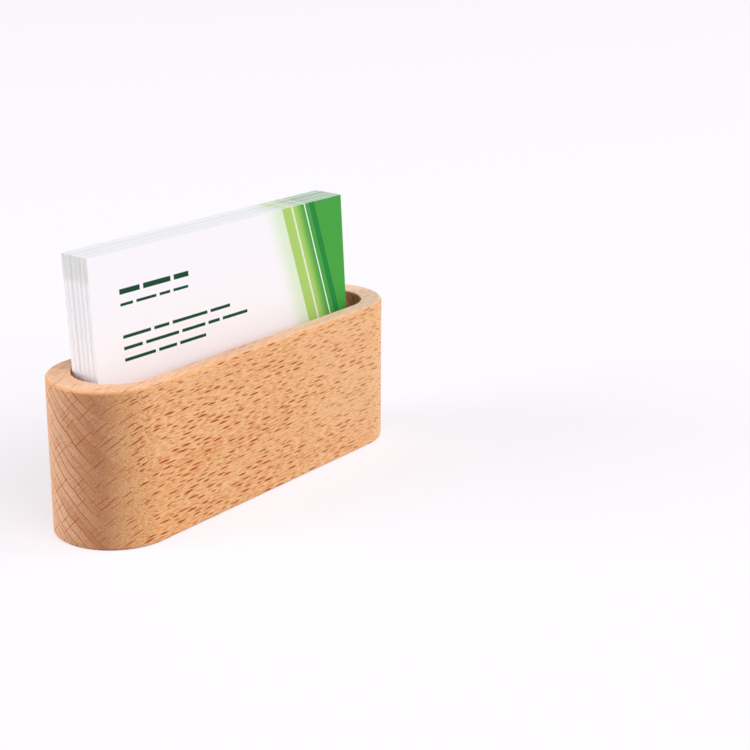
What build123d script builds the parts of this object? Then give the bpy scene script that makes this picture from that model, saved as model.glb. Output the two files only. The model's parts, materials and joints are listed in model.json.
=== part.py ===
from build123d import *
from math import cos, radians, sin, sqrt, tan
import os

# A business card holder: one block of beech with rounded ends, milled out to a pocket, and
# the stack of cards that stands in it. Millimetres, +Z up. The origin is the middle of the
# block's base, +X runs along the block, and the cards face -Y, which is the front.

# The cards, a common trade size in a stiff coated stock
card_width = 90.0
card_height = 54.0
card_thickness = 0.33
card_gap = 0.02  # the air between two cards
card_count = 25
card_jog = 0.07  # how far a card strays sideways from a squared stack
card_jog_step = 80.0  # degrees of the stray's sine from one card to the next

# How the stack stands in the pocket
stack_lean = 3.5  # degrees by which the tops lie back
stack_turn = -2.3  # degrees, seen from above: the right end comes forward
stack_end_gap = 0.25  # from the stack's nearest corner to the pocket's rounded end
foot_gap = 0.02  # under the lowest edge of each card

# The pocket
pocket_depth = 25.8
pocket_end_room = 9.0  # its length beyond a card's width
pocket_side_room = 12.55  # its width beyond the stack's depth

# The block round the pocket
side_wall = 4.6
end_wall = 6.5
floor_thickness = 13.4
top_ease = 0.9  # radius of the sanded edge round the top
mouth_ease = 0.4  # radius of the sanded edge round the pocket's mouth
base_ease = 0.6  # radius of the sanded edge round the base

# Sizes that follow from those above
card_pitch = card_thickness + card_gap
stack_depth = card_count * card_pitch - card_gap
pocket_length = card_width + pocket_end_room
pocket_width = stack_depth + pocket_side_room
block_length = pocket_length + 2 * end_wall
block_width = pocket_width + 2 * side_wall
block_height = floor_thickness + pocket_depth
lean = radians(stack_lean)
turn = radians(stack_turn)


def holder_block():
    """The beech block: an obround bar with eased edges and an obround pocket milled into its top."""
    block = extrude(SlotOverall(block_length, block_width), amount=block_height)
    block = fillet(block.edges().group_by(Axis.Z)[-1], top_ease)
    block = fillet(block.edges().group_by(Axis.Z)[0], base_ease)
    pocket = extrude(SlotOverall(pocket_length, pocket_width), amount=pocket_depth)
    block -= Pos(Z=floor_thickness) * pocket
    top_face = block.faces().sort_by(Axis.Z)[-1]
    return fillet(top_face.inner_wires().edges(), mouth_ease)


def shift_to_end(depth):
    """The move along X that brings the stack's left corner at this depth up to the pocket's end."""
    half_width = card_width / 2 + card_jog
    corner_x = -half_width * cos(turn) - depth * sin(turn)
    corner_y = -half_width * sin(turn) + depth * cos(turn)
    end_radius = pocket_width / 2 - stack_end_gap
    reach = (pocket_length - pocket_width) / 2 + sqrt(end_radius**2 - corner_y**2)
    return -reach - corner_x


def stack_place():
    """The stack's place: midway on the pocket's floor, leaned, turned and slid to the left end."""
    half_depth = stack_depth / 2 / cos(lean)
    front_at_floor = -half_depth
    back_at_mouth = half_depth + pocket_depth * tan(lean)
    shift = max(shift_to_end(front_at_floor), shift_to_end(back_at_mouth))
    return Pos(shift, 0, floor_thickness + foot_gap) * Rot(Z=stack_turn) * Rot(X=-stack_lean)


def card(number):
    """One card, counted from the front of the stack, standing on the pocket's floor."""
    on_its_foot = (Align.CENTER, Align.CENTER, Align.MIN)
    blank = Box(card_width, card_thickness, card_height, align=on_its_foot)
    stray = card_jog * sin(radians(number * card_jog_step))
    depth = (number - (card_count - 1) / 2) * card_pitch
    rise = (depth + card_thickness / 2) * tan(lean)
    return stack_place() * Pos(stray, depth, rise) * blank


os.makedirs("parts", exist_ok=True)
export_step(holder_block(), "parts/holder_block.step")
for number in range(card_count):
    export_step(card(number), f"parts/card_{number + 1:02d}.step")

print(f"block {block_length:.1f} x {block_width:.1f} x {block_height:.1f} mm")
print(f"pocket {pocket_length:.1f} x {pocket_width:.1f} x {pocket_depth:.1f} mm")
print(f"stack of {card_count} cards, {stack_depth:.2f} mm deep")
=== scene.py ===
# %% [markdown]
# A beech card holder and its stack of cards
#
# The real thing is one block of solid beech with rounded ends. A pocket is milled down into it and
# its edges are sanded, and a stack of business cards stands in the pocket. The measured solids come
# from the frame. They could be coloured as they are, but they are loose triangles with no soft edge
# and no grain, so this lesson gives every one of them a clean mesh and its own finish.

# %% Load the frame
import json
import math
import bmesh
import bpy
from mathutils import Matrix, Vector


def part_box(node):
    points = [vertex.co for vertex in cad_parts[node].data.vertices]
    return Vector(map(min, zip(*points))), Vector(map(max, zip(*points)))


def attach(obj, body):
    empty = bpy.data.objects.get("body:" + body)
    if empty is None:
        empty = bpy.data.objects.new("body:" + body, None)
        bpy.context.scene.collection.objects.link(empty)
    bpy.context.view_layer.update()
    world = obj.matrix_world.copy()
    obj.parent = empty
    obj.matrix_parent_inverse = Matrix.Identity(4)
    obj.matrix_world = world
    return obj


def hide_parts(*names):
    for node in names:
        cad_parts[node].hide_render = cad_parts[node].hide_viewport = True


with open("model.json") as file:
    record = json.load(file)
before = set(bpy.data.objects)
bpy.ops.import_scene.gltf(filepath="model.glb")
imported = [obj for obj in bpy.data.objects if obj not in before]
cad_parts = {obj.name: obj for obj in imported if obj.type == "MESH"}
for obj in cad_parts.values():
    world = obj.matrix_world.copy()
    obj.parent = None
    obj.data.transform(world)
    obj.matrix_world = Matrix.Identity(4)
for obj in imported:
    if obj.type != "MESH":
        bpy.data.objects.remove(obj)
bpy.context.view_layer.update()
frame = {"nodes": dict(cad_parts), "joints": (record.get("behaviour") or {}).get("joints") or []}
MM = 0.001

# %% [markdown]
# The camera
#
# A product picture like this is taken from a little above the table, with a long lens that keeps
# upright edges nearly upright. A camera could be aimed with a Track To constraint, but three turns
# written out say more: first the roll about its own line of sight, then the tilt, then the heading.

# %% Camera
camera_place = Vector((-307.6, -274.0, 162.9)) * MM
camera_heading = math.radians(-53.57)
camera_drop = math.radians(18.23)
camera_roll = math.radians(0.27)
film_width = 36.0
lens_length = 81.3
nearest_view = 10 * MM

camera = bpy.data.objects.new("camera", bpy.data.cameras.new("camera"))
camera.data.sensor_width = film_width
camera.data.lens = lens_length
camera.data.clip_start = nearest_view
bpy.context.scene.collection.objects.link(camera)
bpy.context.scene.camera = camera

tilt = Matrix.Rotation(math.pi / 2 - camera_drop, 4, "X")
turn = Matrix.Rotation(camera_heading, 4, "Z")
roll = Matrix.Rotation(camera_roll, 4, "Z")
camera.matrix_world = Matrix.Translation(camera_place) @ turn @ tilt @ roll
print("camera", round(camera_place.length / MM), "mm from the middle of the base")

# %% [markdown]
# Small helpers for materials
#
# Every finish below is a node tree. Wiring nodes by hand in the editor is quick, but in a script it
# fills pages, so these helpers add one node, set it and wire it in a single call. Colours are
# written as they are seen on screen, from 0 to 255, and changed to the linear values of a renderer.

# %% Helpers for materials
screen_levels = 255
screen_foot = 0.055
screen_power = 2.4


def seen(red, green, blue):
    """A colour as seen on screen, changed to linear light, with full alpha."""
    shares = (level / screen_levels for level in (red, green, blue))
    return tuple(((c + screen_foot) / (1 + screen_foot)) ** screen_power for c in shares) + (1.0,)


def add(tree, kind, inputs=None, **settings):
    """Add a node, make its settings, and fill its inputs with values or with other nodes' outputs."""
    node = tree.nodes.new(kind)
    for name, value in settings.items():
        setattr(node, name, value)
    for name, value in (inputs or {}).items():
        if isinstance(value, bpy.types.NodeSocket):
            tree.links.new(value, node.inputs[name])
        else:
            node.inputs[name].default_value = value
    return node


def calc(tree, operation, first, second=0.0, third=0.0):
    """One step of arithmetic."""
    inputs = {0: first, 1: second, 2: third}
    return add(tree, "ShaderNodeMath", inputs, operation=operation).outputs[0]


def new_material(name):
    """A material with an empty node tree."""
    material = bpy.data.materials.new(name)
    material.use_nodes = True
    material.node_tree.nodes.clear()
    return material


print("half grey on screen is", round(seen(128, 128, 128)[0], 3), "in linear light")

# %% [markdown]
# The table and the light
#
# The holder stands in a light tent: white all round, with three large soft lamps. A high one in
# front, a little to the left, lights the face and the cards. One at the right keeps the far end
# clear, and a low one behind at the left lights the left end. One lamp alone could do it, but then
# one side would be lost in shadow. The floor is a plain pale sheet. Its own faint glow is seen by the
# camera and in reflections alone, so the floor looks white while the light on the wood stays at a
# plain level and the shadow is kept.

# %% Finish of the floor
floor_colour = seen(162, 160, 163)
floor_glow_colour = seen(250, 248, 252)
floor_glow = 0.68


def seen_directly(tree):
    """1 for rays from the camera, from reflections and through glass, 0 for rays of plain light."""
    ray = add(tree, "ShaderNodeLightPath").outputs
    either = calc(tree, "MAXIMUM", ray["Is Camera Ray"], ray["Is Glossy Ray"])
    return calc(tree, "MAXIMUM", either, ray["Is Transmission Ray"])


def floor_finish():
    """A matt sheet with a faint glow of its own."""
    material = new_material("pale_floor")
    tree = material.node_tree
    matte = add(tree, "ShaderNodeBsdfDiffuse", {"Color": floor_colour})
    strength = calc(tree, "MULTIPLY", seen_directly(tree), floor_glow)
    glow = add(tree, "ShaderNodeEmission", {"Color": floor_glow_colour, "Strength": strength})
    both = add(tree, "ShaderNodeAddShader", {0: matte.outputs[0], 1: glow.outputs[0]})
    add(tree, "ShaderNodeOutputMaterial", {"Surface": both.outputs[0]})
    return material


pale_floor = floor_finish()
print("pale_floor has", len(pale_floor.node_tree.nodes), "nodes")

# %% Floor
floor_half = 4000 * MM
floor_drop = 0.02 * MM


def keep(bm, name, *materials):
    """Turn a bmesh into an object in the scene, with these materials."""
    mesh = bpy.data.meshes.new(name)
    bm.to_mesh(mesh)
    bm.free()
    for material in materials:
        mesh.materials.append(material)
    piece = bpy.data.objects.new(name, mesh)
    bpy.context.scene.collection.objects.link(piece)
    return piece


floor_mesh = bmesh.new()
bmesh.ops.create_grid(floor_mesh, x_segments=1, y_segments=1, size=floor_half)
bmesh.ops.translate(floor_mesh, vec=(0, 0, -floor_drop), verts=floor_mesh.verts)
floor = keep(floor_mesh, "floor", pale_floor)
print("floor", round(2 * floor_half), "m square")

# %% Tent
tent_light = 0.20
tent_colour = seen(249, 246, 252)
plain_white = (1.0, 1.0, 1.0, 1.0)

world = bpy.data.worlds.new("light_tent")
world.use_nodes = True
world.node_tree.nodes.clear()
tent = world.node_tree
dim = add(tent, "ShaderNodeBackground", {"Color": plain_white, "Strength": tent_light})
white = add(tent, "ShaderNodeBackground", {"Color": tent_colour, "Strength": 1.0})
wall = {0: seen_directly(tent), 1: dim.outputs[0], 2: white.outputs[0]}
wall_shader = add(tent, "ShaderNodeMixShader", wall)
add(tent, "ShaderNodeOutputWorld", {"Surface": wall_shader.outputs[0]})
bpy.context.scene.world = world
bpy.context.scene.view_settings.view_transform = "Standard"
print("tent light", tent_light)

# %% Lamps
lamp_aim = Vector((0, 0, 30)) * MM
lamp_away = 6000 * MM
lamp_side = 4400 * MM
lamp_directions_and_levels = {
    "front_lamp": ((-0.15, -0.85, 0.70), 0.59),
    "right_lamp": ((0.66, -0.62, 0.42), 0.57),
    "left_lamp": ((-0.78, 0.58, 0.24), 1.12),
}


def soft_lamp(name, towards, level):
    """A large square lamp. At level 1 it alone would show a white card square to it as white."""
    lamp = bpy.data.objects.new(name, bpy.data.lights.new(name, "AREA"))
    lamp.data.shape = "SQUARE"
    lamp.data.size = lamp_side
    lamp.data.energy = level * (math.pi * lamp_away) ** 2
    lamp.location = lamp_aim + Vector(towards).normalized() * lamp_away
    lamp.rotation_euler = (lamp_aim - lamp.location).to_track_quat("-Z", "Y").to_euler()
    bpy.context.scene.collection.objects.link(lamp)
    print(name, round(lamp.data.energy, 1), "W")


for lamp_name, (towards, level) in lamp_directions_and_levels.items():
    soft_lamp(lamp_name, towards, level)

# %% [markdown]
# Beech, the wood itself
#
# Beech has three things to see. Dark rays, thin plates of cells that run out from the middle of the
# tree, show as short dashes on the faces and as long fine lines on the ends. Growth rings show as
# thin lines on the ends. Fine fibres streak everything along the grain. A picture of wood could be
# wrapped round the block, but then the end would not belong to the face. Here the wood is solid: the
# block's own coordinates are turned until they lie along the grain, across it and out along the
# rays, and every mark is a shape in that space, so each face shows the cut that it really makes.

# %% The lie of the grain
grain_dip = math.radians(-1.0)
ring_turn = math.radians(45)

lie_of_grain = Matrix.Rotation(-ring_turn, 3, "X") @ Matrix.Rotation(-grain_dip, 3, "Y")
across_rays = lie_of_grain.row[1].copy()
print("grain runs along", [round(c, 3) for c in lie_of_grain.row[0]])

# %% Places in the wood
# Sizes in the wood run along the grain, across it and out along the rays, in millimetres
broad_sway_size = (26.0, 14.0, 14.0)
broad_sway = (0.0, 0.7, 3.0)
fine_sway_size = (7.0, 3.2, 3.2)
fine_sway = (0.0, 0.15, 0.4)
sway_detail = 1.0
noise_middle = (0.5, 0.5, 0.5)


def stretch(tree, place, sizes):
    """Coordinates counted in grains of these sizes instead of millimetres."""
    scale = tuple(1 / size for size in sizes)
    return add(tree, "ShaderNodeMapping", {"Vector": place, "Scale": scale}).outputs[0]


def noise(tree, place, sizes, detail):
    """A noise node whose blobs have about these sizes."""
    inputs = {"Vector": stretch(tree, place, sizes), "Scale": 1.0, "Detail": detail}
    return add(tree, "ShaderNodeTexNoise", inputs)


def swayed(tree, place, sizes, reach):
    """The place, pushed about by a slow noise, because a tree never grows quite straight."""
    push = {0: noise(tree, place, sizes, sway_detail).outputs["Color"], 1: noise_middle}
    push = add(tree, "ShaderNodeVectorMath", push, operation="SUBTRACT").outputs[0]
    inputs = {0: push, 1: reach, 2: place}
    return add(tree, "ShaderNodeVectorMath", inputs, operation="MULTIPLY_ADD").outputs[0]


def place_in_wood(tree, place):
    """A place on the block in metres, turned to the lie of the grain, in millimetres, and swayed."""
    turned = {"Vector": place, "Rotation": lie_of_grain.to_euler(), "Scale": (1 / MM,) * 3}
    place = add(tree, "ShaderNodeMapping", turned).outputs[0]
    place = swayed(tree, place, broad_sway_size, broad_sway)
    return swayed(tree, place, fine_sway_size, fine_sway)


print("the rings sway by up to", (broad_sway[2] + fine_sway[2]) / 2, "mm to each side")

# %% [markdown]
# The rays
#
# On this block a ray is a dark dash, at most about 4 mm long and a third of a millimetre wide, and
# over a thousand of them show. Small planes could be scattered on the faces, but they would stop
# at every edge. Instead the wood is divided into rows of long cells with one thin plate in each. A
# White Noise node throws the dice for the cell, which settles how long, how wide and how dark its
# plate is and where in the cell it lies, so that no two rays look alike and no row looks ruled.


# %% Helpers for patterns
def fade(tree, value, start, end, low=0.0, high=1.0):
    """Go smoothly from low to high as the value goes from start to end, and stay there."""
    inputs = {"Value": value, "From Min": start, "From Max": end, "To Min": low, "To Max": high}
    return add(tree, "ShaderNodeMapRange", inputs, interpolation_type="SMOOTHSTEP").outputs[0]


def product(tree, value, *factors):
    """Several numbers multiplied."""
    for factor in factors:
        value = calc(tree, "MULTIPLY", value, factor)
    return value


def split(tree, vector):
    """The three parts of a vector."""
    return add(tree, "ShaderNodeSeparateXYZ", {0: vector}).outputs


def chance_of(tree, number):
    """A chance from 0 to 1 that belongs to a whole number."""
    return add(tree, "ShaderNodeTexWhiteNoise", {"W": number}, noise_dimensions="1D").outputs["Value"]


print("helpers:", *(helper.__name__ for helper in (fade, product, split, chance_of)))

# %% Cells of the rays
ray_step = (4.6, 0.66, 4.0)
row_slide = 0.618


def ray_cells(tree, place):
    """Rows of cells along the grain. Gives the place in them, the cell's dice and the row's own."""
    along, across, out = split(tree, stretch(tree, place, ray_step))
    row = calc(tree, "FLOOR", across)
    row_chance = chance_of(tree, row)
    along = calc(tree, "MULTIPLY_ADD", row, row_slide, along)
    out = calc(tree, "ADD", out, row_chance)
    number = {0: calc(tree, "FLOOR", along), 1: row, 2: calc(tree, "FLOOR", out)}
    number = add(tree, "ShaderNodeCombineXYZ", number).outputs[0]
    dice = add(tree, "ShaderNodeTexWhiteNoise", {"Vector": number}, noise_dimensions="3D").outputs
    return along, across, dice, row_chance


print("a cell of the rays is", ray_step, "mm")

# %% Rays
# A fade is its start, its end and, where they aren't 0 and 1, the two values that it goes between.
# Lengths, widths and shifts are shares of a cell.
cell_middle_share = 0.5
half_length_fade = (0.0, 1.5, 0.06, 0.62)
half_width_fade = (0.0, 1.0, 0.165, 0.25)
slide_fade = (0.0, 1.0, -1.0, 1.0)
stray_fade = (0.0, 1.0, -0.22, 0.22)
ray_rim_fade = (1.0, 0.7)
ray_strength_fade = (0.05, 0.9, 0.18, 1.0)
row_strength_fade = (0.0, 0.8, 0.6, 1.0)


def from_middle(tree, value, shift):
    """How far a place lies from the middle of its cell, where the middle is shifted."""
    off = calc(tree, "SUBTRACT", calc(tree, "FRACT", value), cell_middle_share)
    return calc(tree, "SUBTRACT", off, shift)


def ray_marks(tree, place):
    """How dark the ray is at this place: a plate with pointed ends in each cell, and 0 outside it."""
    along, across, dice, row_chance = ray_cells(tree, place)
    chance = add(tree, "ShaderNodeSeparateColor", {0: dice["Color"]}).outputs
    half_length = fade(tree, chance[0], *half_length_fade)
    half_width = fade(tree, chance[0], *half_width_fade)
    room = calc(tree, "SUBTRACT", cell_middle_share, half_length)
    slide = product(tree, fade(tree, chance[1], *slide_fade), room)
    stray = fade(tree, chance[2], *stray_fade)
    lengthwise = calc(tree, "DIVIDE", from_middle(tree, along, slide), half_length)
    crosswise = calc(tree, "ABSOLUTE", from_middle(tree, across, stray))
    crosswise = calc(tree, "DIVIDE", crosswise, half_width)
    inside = calc(tree, "MULTIPLY_ADD", lengthwise, lengthwise, crosswise)
    strength = fade(tree, dice["Value"], *ray_strength_fade)
    strength = product(tree, strength, fade(tree, row_chance, *row_strength_fade))
    return product(tree, fade(tree, inside, *ray_rim_fade), strength)


print("the widest ray is", round(2 * half_width_fade[-1] * ray_step[1], 2), "mm")

# %% [markdown]
# The growth rings
#
# Each year the tree lays down a ring, and the dense wood at the end of the year shows on the ends of
# the block as a thin brown line. A Wave texture could draw them, but all of one width. Here the years
# are counted outwards, a slow noise makes some of them wider than others, and the fraction of the
# year says where the line lies. The whole number of the year gives each ring a tone of its own.

# %% Rings
ring_step = 2.0
ring_drift = 1.6
drift_years = 3.1
drift_detail = 1.0
ring_start_fade = (0.80, 0.95)
ring_stop_fade = (1.0, 0.98)
ring_strength_fade = (0.0, 1.0, 0.55, 1.0)


def ring_marks(tree, radial):
    """A thin dark line at the end of each year's growth, and a tone from 0 to 1 for each year."""
    slow = calc(tree, "DIVIDE", radial, drift_years * ring_step)
    slow = {"W": slow, "Scale": 1.0, "Detail": drift_detail}
    drift = add(tree, "ShaderNodeTexNoise", slow, noise_dimensions="1D").outputs[0]
    drift = product(tree, drift, ring_drift)
    year = calc(tree, "ADD", calc(tree, "DIVIDE", radial, ring_step), drift)
    season = calc(tree, "FRACT", year)
    line = product(tree, fade(tree, season, *ring_start_fade), fade(tree, season, *ring_stop_fade))
    tone = chance_of(tree, calc(tree, "FLOOR", year))
    return product(tree, line, fade(tree, tone, *ring_strength_fade)), tone


print("a year's growth is about", ring_step, "mm")

# %% [markdown]
# The cuts of the wood
#
# One block of wood has another tone on each cut. The long faces are light and warm, and the ends,
# where the fibres are cut across, are darker. The sanded edges have a thin line of honey. The rest is
# painted light: a painted sheen makes the rim paler, painted light makes the faces and the rim paler
# towards the right and the ends towards the back, and painted shade makes the pocket a little darker
# than the outside. Each could have a material of its own, but round the ends there is no line where
# one would stop. So a single material reads which way the surface faces, and each tone fades into the
# next. The mesh says which faces are eased and which lie in the shaded pocket.

# %% Faces and ends
fibre_size = (2.1, 0.22, 0.22)
fibre_detail = 2.0
cloud_size = (34.0, 9.0, 9.0)
cloud_detail = 3.0
cloud_gain = 0.5
year_gain = 0.12
face_painted_light_fade = (-20.0, 60.0, 0.04, 0.24)
face_tone_fade = (-0.1, 0.6)
end_painted_light_fade = (-0.6, 0.6, -0.08, 0.18)
end_tone_fade = (-0.15, 0.35)
bright_wood = seen(247, 195, 146)
deep_wood = seen(223, 151, 92)
bright_end_wood = seen(226, 180, 146)
deep_end_wood = seen(178, 117, 78)


def tint(tree, amount, under, over, blend="MIX"):
    """Lay one colour over another."""
    inputs = {0: amount, 6: under, 7: over}
    return add(tree, "ShaderNodeMix", inputs, data_type="RGBA", blend_type=blend).outputs[2]


def face_wood(tree, place, along, streak):
    """The long faces: fibre streaks, slow clouds, and painted light, paler towards the right."""
    cloud = noise(tree, place, cloud_size, cloud_detail).outputs[0]
    paleness = calc(tree, "MULTIPLY_ADD", cloud, cloud_gain, streak)
    # Painted light: the faces grow paler towards the right.
    paleness = calc(tree, "ADD", paleness, fade(tree, along, *face_painted_light_fade))
    return tint(tree, fade(tree, paleness, *face_tone_fade), deep_wood, bright_wood)


def end_wood(tree, year_tone, to_back, streak):
    """The ends: each year's own tone, and painted light, paler towards the back."""
    paleness = calc(tree, "MULTIPLY_ADD", year_tone, year_gain, streak)
    # Painted light: the ends grow paler towards the back.
    paleness = calc(tree, "ADD", paleness, fade(tree, to_back, *end_painted_light_fade))
    return tint(tree, fade(tree, paleness, *end_tone_fade), deep_end_wood, bright_end_wood)


print("fibres are about", fibre_size[0], "mm long")

# %% Sawn wood
# Fades over the way that the surface faces: 1 is square to the right, to the back or up
upright_fade = (0.75, 0.2)
end_front_fade = (-0.93, -0.48)
# The end tone fades to the face tone at the back and starts early, so the back half of each end is
# lighter: painted light.
end_back_fade = (0.95, 0.15)
ring_front_fade = (-0.6, -0.2)
ring_back_fade = (0.98, 0.8)
streak_gain = 2.6
end_streak_fade = (0.85, 0.3, 0.24, 1.0)
ring_brown = seen(158, 92, 52)


def sawn_wood(tree, place, facing, fibre):
    """Faces and ends with one fading into the other, and the rings on the ends."""
    along, _, radial = split(tree, place)
    to_right, to_back, upward = split(tree, facing)
    streak = calc(tree, "MULTIPLY_ADD", fibre, streak_gain, -streak_gain / 2)
    end_on = calc(tree, "ABSOLUTE", to_right)
    streak = product(tree, streak, fade(tree, end_on, *end_streak_fade))
    ring, year_tone = ring_marks(tree, radial)
    upright = fade(tree, upward, *upright_fade)
    end_cut = product(tree, fade(tree, to_back, *end_front_fade), fade(tree, to_back, *end_back_fade))
    face = face_wood(tree, place, along, streak)
    end = end_wood(tree, year_tone, to_back, streak)
    colour = tint(tree, product(tree, end_cut, upright), face, end)
    ring_cut = product(tree, fade(tree, to_back, *ring_front_fade), fade(tree, to_back, *ring_back_fade))
    return tint(tree, product(tree, ring, ring_cut, upright), colour, ring_brown)


print("fibre on the ends is", end_streak_fade[2], "as strong as on the faces")

# %% Rim, eased edges and pocket
# Painted sheen: the rim is painted paler.
rim_sheen_fade = (0.7, 0.98)
# Painted light: the rim grows paler towards the right.
rim_painted_light_fade = (-10.0, 45.0, 0.36, 0.8)
honey_low_fade = (0.1, 0.4)
honey_high_fade = (0.85, 0.6)
honey_amount = 0.6
rim_sheen_wood = seen(252, 220, 196)
honey_wood = seen(236, 167, 104)
# Painted shade for the pocket walls.
pocket_shade_tone = seen(222, 208, 196)


def attribute(tree, name):
    """A number that each face of the mesh carries."""
    return add(tree, "ShaderNodeAttribute", attribute_name=name).outputs["Fac"]


def sheen_honey_and_shade(tree, colour, place, facing):
    """Painted sheen on the rim, a honey line on eased edges and painted shade in the pocket."""
    along = split(tree, place)[0]
    upward = split(tree, facing)[2]
    # Painted sheen makes the rim paler, and painted light makes it paler towards the right.
    rim = product(tree, fade(tree, upward, *rim_sheen_fade), fade(tree, along, *rim_painted_light_fade))
    colour = tint(tree, rim, colour, rim_sheen_wood)
    edge = product(tree, fade(tree, upward, *honey_low_fade), fade(tree, upward, *honey_high_fade))
    honey = product(tree, attribute(tree, "eased"), edge, honey_amount)
    colour = tint(tree, honey, colour, honey_wood)
    # Painted shade: the pocket walls are darkened.
    return tint(tree, attribute(tree, "shaded_pocket"), colour, pocket_shade_tone, "MULTIPLY")


print("the honey line is laid on with an amount of", honey_amount)

# %% Where the rays show
broadside_ray_fade = (0.78, 0.95, 1.0, 0.25)
rim_ray_fade = (0.5, 0.95, 1.0, 0.45)
end_ray_fade = (0.2, 0.7, 1.0, 0.5)
ray_drift_fade = (-45.0, 45.0, 1.3, 0.85)


def ray_show(tree, place, facing):
    """How strongly rays show: less on the rim, on the ends and where a face lies along the plates."""
    along = split(tree, place)[0]
    to_right, _, upward = split(tree, facing)
    broadside = {0: facing, 1: across_rays}
    broadside = add(tree, "ShaderNodeVectorMath", broadside, operation="DOT_PRODUCT").outputs["Value"]
    return product(
        tree,
        fade(tree, calc(tree, "ABSOLUTE", broadside), *broadside_ray_fade),
        fade(tree, upward, *rim_ray_fade),
        fade(tree, calc(tree, "ABSOLUTE", to_right), *end_ray_fade),
        fade(tree, along, *ray_drift_fade),
    )


print("rays on the rim are", rim_ray_fade[-1], "as strong as on the faces")

# %% Beech
ray_brown = seen(166, 58, 0)
rough_fade = (0.3, 0.7, 0.5, 0.4)
fibre_relief = 0.02 * MM
relief_strength = 0.2
wood_gloss = 0.12


def finish_surface(tree, colour, roughness, gloss, bump=None):
    """End a tree with one shader. What is the same all over is set on the shader's own sockets."""
    inputs = {"Base Color": colour, "Roughness": roughness, "Specular IOR Level": gloss}
    if bump is not None:
        inputs["Normal"] = bump
    shader = add(tree, "ShaderNodeBsdfPrincipled", inputs)
    add(tree, "ShaderNodeOutputMaterial", {"Surface": shader.outputs[0]})


def beech_finish():
    """Solid beech: the sawn wood, what the tools leave on it, and the rays over both."""
    material = new_material("beech")
    tree = material.node_tree
    source = add(tree, "ShaderNodeTexCoord").outputs
    place = place_in_wood(tree, source["Object"])
    facing = source["Normal"]
    fibre = noise(tree, place, fibre_size, fibre_detail).outputs[0]
    colour = sawn_wood(tree, place, facing, fibre)
    colour = sheen_honey_and_shade(tree, colour, place, facing)
    ray = product(tree, ray_marks(tree, place), ray_show(tree, place, facing))
    colour = tint(tree, ray, colour, ray_brown)
    relief = {"Height": fibre, "Strength": relief_strength, "Distance": fibre_relief}
    bump = add(tree, "ShaderNodeBump", relief).outputs[0]
    finish_surface(tree, colour, fade(tree, fibre, *rough_fade), wood_gloss, bump)
    return material


beech = beech_finish()
print("beech has", len(beech.node_tree.nodes), "nodes")

# %% [markdown]
# The block
#
# The maker routes the pocket into a bar with half-round ends and then breaks every edge with
# sandpaper. A cube could be cut with boolean modifiers, but they leave long thin faces that shade
# badly. The maker's own steps work on a mesh: two half circles are spun from two points and joined
# into a ring, the outer ring is extruded up to a wall, a smaller ring is extruded down to the pocket,
# and the rim is bridged between them. The sanded edges are bevels with a few segments, so that light
# rolls over them instead of stopping at a hard line.

# %% Rings and walls
arc_steps = 64


def obround(bm, length, width, height):
    """A ring of edges: two half circles, spun from two points and joined by straight sides."""
    known = set(bm.edges)
    radius = width / 2
    middle = length / 2 - radius
    ends = []
    for side in (1, -1):
        start = bm.verts.new((side * middle, -side * radius, height))
        centre = (side * middle, 0, height)
        arc = bmesh.ops.spin(
            bm, geom=[start], cent=centre, axis=(0, 0, 1), angle=math.pi, steps=arc_steps
        )
        ends.append((start, arc["geom_last"][0]))
    bm.edges.new((ends[0][1], ends[1][0]))
    bm.edges.new((ends[1][1], ends[0][0]))
    return [edge for edge in bm.edges if edge not in known]


def wall_from(bm, ring, rise):
    """Extrude a ring of edges straight up or down, and give the ring at its other end."""
    made = bmesh.ops.extrude_edge_only(bm, edges=ring)["geom"]
    verts = [part for part in made if isinstance(part, bmesh.types.BMVert)]
    edges = [part for part in made if isinstance(part, bmesh.types.BMEdge)]
    bmesh.ops.translate(bm, vec=(0, 0, rise), verts=verts)
    return [edge for edge in edges if all(vert in verts for vert in edge.verts)]


print("each half circle has", arc_steps, "steps")

# %% Eased edges
top_ease = 0.9 * MM
mouth_ease = 0.4 * MM
base_ease = 0.6 * MM
broad_ease_steps = 6
fine_ease_steps = 4


def ease(bm, ring, radius, steps):
    """Sand a ring of edges round, and mark the new faces as eased."""
    made = bmesh.ops.bevel(
        bm, geom=ring, offset=radius, offset_type="OFFSET", affect="EDGES",
        segments=steps, profile=0.5, material=-1,
    )
    eased = bm.faces.layers.float["eased"]
    for face in made["faces"]:
        face[eased] = 1.0


print("the top edge is eased by", round(top_ease / MM, 2), "mm")

# %% Block
wood_low, wood_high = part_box("holder_block")
wood_size = wood_high - wood_low
pocket_ends = 6.5 * MM
pocket_sides = 4.6 * MM
pocket_floor = 13.4 * MM
flat_face_weight = 100


def block_mesh():
    """The block from its base ring up, with its pocket and eased edges."""
    bm = bmesh.new()
    bm.faces.layers.float.new("eased")
    shaded_pocket = bm.faces.layers.float.new("shaded_pocket")
    base = obround(bm, wood_size.x, wood_size.y, wood_low.z)
    rim = wall_from(bm, base, wood_size.z)
    mouth = obround(bm, wood_size.x - 2 * pocket_ends, wood_size.y - 2 * pocket_sides, wood_high.z)
    bottom = wall_from(bm, mouth, pocket_floor - wood_high.z)
    bmesh.ops.bridge_loops(bm, edges=rim + mouth)
    bmesh.ops.contextual_create(bm, geom=base)
    bmesh.ops.contextual_create(bm, geom=bottom)
    bmesh.ops.recalc_face_normals(bm, faces=bm.faces)
    ease(bm, rim, top_ease, broad_ease_steps)
    ease(bm, mouth, mouth_ease, fine_ease_steps)
    ease(bm, base, base_ease, fine_ease_steps)
    # The pocket's walls and floor carry the painted shade.
    for edge in bottom:
        for face in edge.link_faces:
            face[shaded_pocket] = 1.0
    for face in bm.faces:
        face.smooth = True
    return bm


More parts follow.
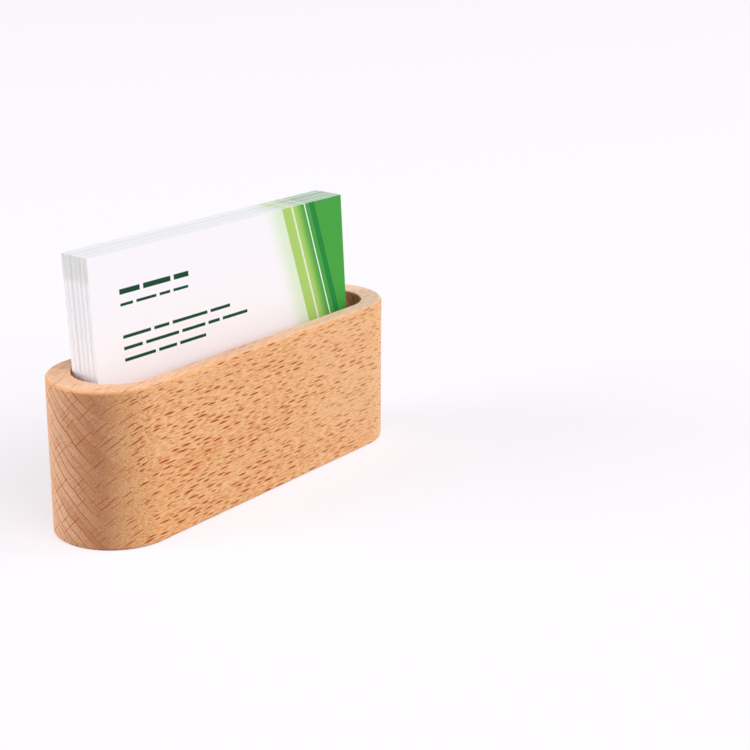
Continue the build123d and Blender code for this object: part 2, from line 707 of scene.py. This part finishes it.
block = keep(block_mesh(), "beech_block", beech)
block.modifiers.new("flats_stay_flat", "WEIGHTED_NORMAL").weight = flat_face_weight
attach(block, "holder")
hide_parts("holder_block")
print("block has", len(block.data.polygons), "faces")

# %% [markdown]
# The printed stock
#
# The cards are white coated stock, printed on one side with slanted green bands that run off the
# edge, and cut in a stack, so that a little ink shows on the cut edges too. The coating is nearly
# matt and the cut edges are bare paper, so faces and edges are two materials. A picture could be
# laid on the face, but bands and bars are only comparisons of two coordinates, so the print is drawn
# by the material itself. It reads a UV map in which a card is one unit wide and one unit high.

# %% Green bands
# Places are in millimetres to the right of a slanted line that leaves the card's foot at band_start
band_slant = 0.26
band_start = 80.0
ink_spread = 0.06
mist_fade = (-7.0, 0.0)
lime_band = (0.6, 4.0)
field_start_fade = (4.6, 4.7)
field_deepening_fade = (4.6, 9.0)
deep_band = (11.0, 13.0)
white_line = (9.0, 9.4)
paper_white = seen(252, 249, 254)
pale_green = seen(226, 240, 214)
lime_green = seen(176, 211, 112)
mid_green = seen(74, 166, 70)
deep_green = seen(44, 138, 66)


def between(tree, value, low, high):
    """1 where the value lies between low and high, with a soft step of printed ink at both ends."""
    rise = fade(tree, value, low - ink_spread, low + ink_spread)
    fall = fade(tree, value, high + ink_spread, high - ink_spread)
    return product(tree, rise, fall)


def green_bands(tree, across, up):
    """Slanted bands that fade in from white and end in plain green at the right edge."""
    along = calc(tree, "ADD", calc(tree, "MULTIPLY_ADD", up, band_slant, -band_start), across)
    colour = tint(tree, fade(tree, along, *mist_fade), paper_white, pale_green)
    colour = tint(tree, between(tree, along, *lime_band), colour, lime_green)
    colour = tint(tree, fade(tree, along, *field_start_fade), colour, lime_green)
    colour = tint(tree, fade(tree, along, *field_deepening_fade), colour, mid_green)
    colour = tint(tree, between(tree, along, *deep_band), colour, deep_green)
    return tint(tree, between(tree, along, *white_line), colour, paper_white)


print("the bands lean", round(math.degrees(math.atan(band_slant))), "degrees from upright")

# %% Rows of bars
# Each row has its foot above the card's foot, its height and the lengths of its bars, in millimetres
bars_left = 9.0
bar_gap = 1.1
bar_rows = (
    (43.6, 1.3, (6.5, 9.0, 5.0)),
    (40.8, 0.7, (4.0, 6.5, 3.5, 5.0)),
    (33.0, 0.8, (9.0, 5.0, 12.0, 7.0)),
    (30.2, 0.8, (6.0, 11.0, 8.0, 4.0, 9.0)),
    (27.4, 0.8, (10.0, 6.0, 9.0)),
)
ink_green = seen(28, 76, 52)


def card_print(tree, across, up):
    """The bands at the right and rows of plain bars at the left."""
    colour = green_bands(tree, across, up)
    for foot, height, lengths in bar_rows:
        row = between(tree, up, foot, foot + height)
        left = bars_left
        for length in lengths:
            bar = product(tree, between(tree, across, left, left + length), row)
            colour = tint(tree, bar, colour, ink_green)
            left += length + bar_gap
    return colour


print(sum(len(lengths) for _, _, lengths in bar_rows), "bars in", len(bar_rows), "rows")

# %% Printed faces
card_size = (90.0, 54.0)
face_roughness = 0.5
card_gloss = 0.05


def place_on_card(tree):
    """Millimetres across the card from its left edge, and up from its foot."""
    place = add(tree, "ShaderNodeUVMap", uv_map="print").outputs[0]
    place = add(tree, "ShaderNodeMapping", {"Vector": place, "Scale": card_size + (1.0,)}).outputs[0]
    across, up, _ = split(tree, place)
    return across, up


def face_finish():
    """The coated faces: printed in front, plain behind, and nearly matt."""
    material = new_material("card_face")
    tree = material.node_tree
    ink = card_print(tree, *place_on_card(tree))
    colour = tint(tree, attribute(tree, "printed"), paper_white, ink)
    finish_surface(tree, colour, face_roughness, card_gloss)
    return material


card_face = face_finish()
print("card_face has", len(card_face.node_tree.nodes), "nodes")

# %% Cut edges
side_top_fade = (47.0, 49.0)
bleed_fade = (0.2, 0.9, 0.3, 0.6)
edge_roughness = 0.9
edge_pale = seen(249, 248, 249)
edge_grey = seen(238, 236, 237)
side_top_tint = seen(234, 238, 232)
edge_top = seen(250, 252, 254)


def edge_finish():
    """The cut edges: bare matt paper, a tone of its own for each card, with ink that came through."""
    material = new_material("card_edge")
    tree = material.node_tree
    across, up = place_on_card(tree)
    side = attribute(tree, "side_edge")
    tone = attribute(tree, "edge_tone")
    colour = tint(tree, tone, edge_pale, edge_grey)
    # The upper part of the side edges is tinted greenish grey.
    side_top = product(tree, side, fade(tree, up, *side_top_fade))
    colour = tint(tree, side_top, colour, side_top_tint, "MULTIPLY")
    colour = tint(tree, calc(tree, "SUBTRACT", 1.0, side), colour, edge_top, "MULTIPLY")
    bleed = fade(tree, tone, *bleed_fade)
    colour = tint(tree, bleed, colour, green_bands(tree, across, up), "MULTIPLY")
    finish_surface(tree, colour, edge_roughness, card_gloss)
    return material


card_edge = edge_finish()
print("card_edge has", len(card_edge.node_tree.nodes), "nodes")

# %% [markdown]
# The cards
#
# Every card is a thin sheet, and its place in the stack matters: the stack leans back a little and
# each card strays a hair to one side. A new sheet could be turned and moved into place, but the
# frame already holds each card exactly there, so a copy of its mesh is merged, cleaned to six plain
# faces and given a fine broken edge. The lift of its joint says which way is up on the card, and
# from that the print finds its place.

# %% Sheets
merge_distance = 0.001 * MM
flat_within = math.radians(2)
cut_break = 0.03 * MM


def plain_sheet(name):
    """A copy of a card's mesh, merged, cleaned to six faces and given a fine broken edge."""
    bm = bmesh.new()
    bm.from_mesh(frame["nodes"][name].data)
    bmesh.ops.remove_doubles(bm, verts=bm.verts, dist=merge_distance)
    bmesh.ops.dissolve_limit(bm, angle_limit=flat_within, verts=bm.verts, edges=bm.edges)
    bmesh.ops.bevel(
        bm, geom=bm.edges[:], offset=cut_break, offset_type="OFFSET", affect="EDGES",
        segments=1, profile=0.5, material=-1,
    )
    bm.normal_update()
    return bm


print("cut edges are broken by", round(cut_break / MM, 2), "mm")

# %% Print on the sheets
square_on = 0.9


def mark_faces(bm, across, facing, tone):
    """Say which faces are printed, which are cut edges and which of those are at the sides."""
    printed = bm.faces.layers.float.new("printed")
    side_edge = bm.faces.layers.float.new("side_edge")
    edge_tone = bm.faces.layers.float.new("edge_tone")
    for face in bm.faces:
        turned = face.normal.dot(facing)
        face[printed] = float(turned > square_on)
        face.material_index = int(abs(turned) < square_on)
        face[side_edge] = float(abs(face.normal.dot(across)) > square_on)
        face[edge_tone] = tone


def lay_print(bm, across, up):
    """Map the sheet so that it is one unit wide and one unit high, from its left lower corner."""
    print_map = bm.loops.layers.uv.new("print")
    left = min(vert.co.dot(across) for vert in bm.verts)
    foot = min(vert.co.dot(up) for vert in bm.verts)
    for face in bm.faces:
        for loop in face.loops:
            loop[print_map].uv = (
                (loop.vert.co.dot(across) - left) / (card_size[0] * MM),
                (loop.vert.co.dot(up) - foot) / (card_size[1] * MM),
            )


print("a face counts as square on from a cosine of", square_on)

# %% Cards
# The square of a card's number, times this step, scatters the tones of the cut edges
tone_step = 0.37

for lift in frame["joints"]:
    name = lift["child"]
    number = int(name.split("_")[1])
    tone = number * number * tone_step % 1
    up = Vector(lift["axis"])
    across = up.cross(Vector((0, 0, 1))).normalized()
    sheet = plain_sheet(name)
    mark_faces(sheet, across, across.cross(up), tone)
    lay_print(sheet, across, up)
    card = keep(sheet, "printed_" + name, card_face, card_edge)
    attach(card, name)
    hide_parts(name)
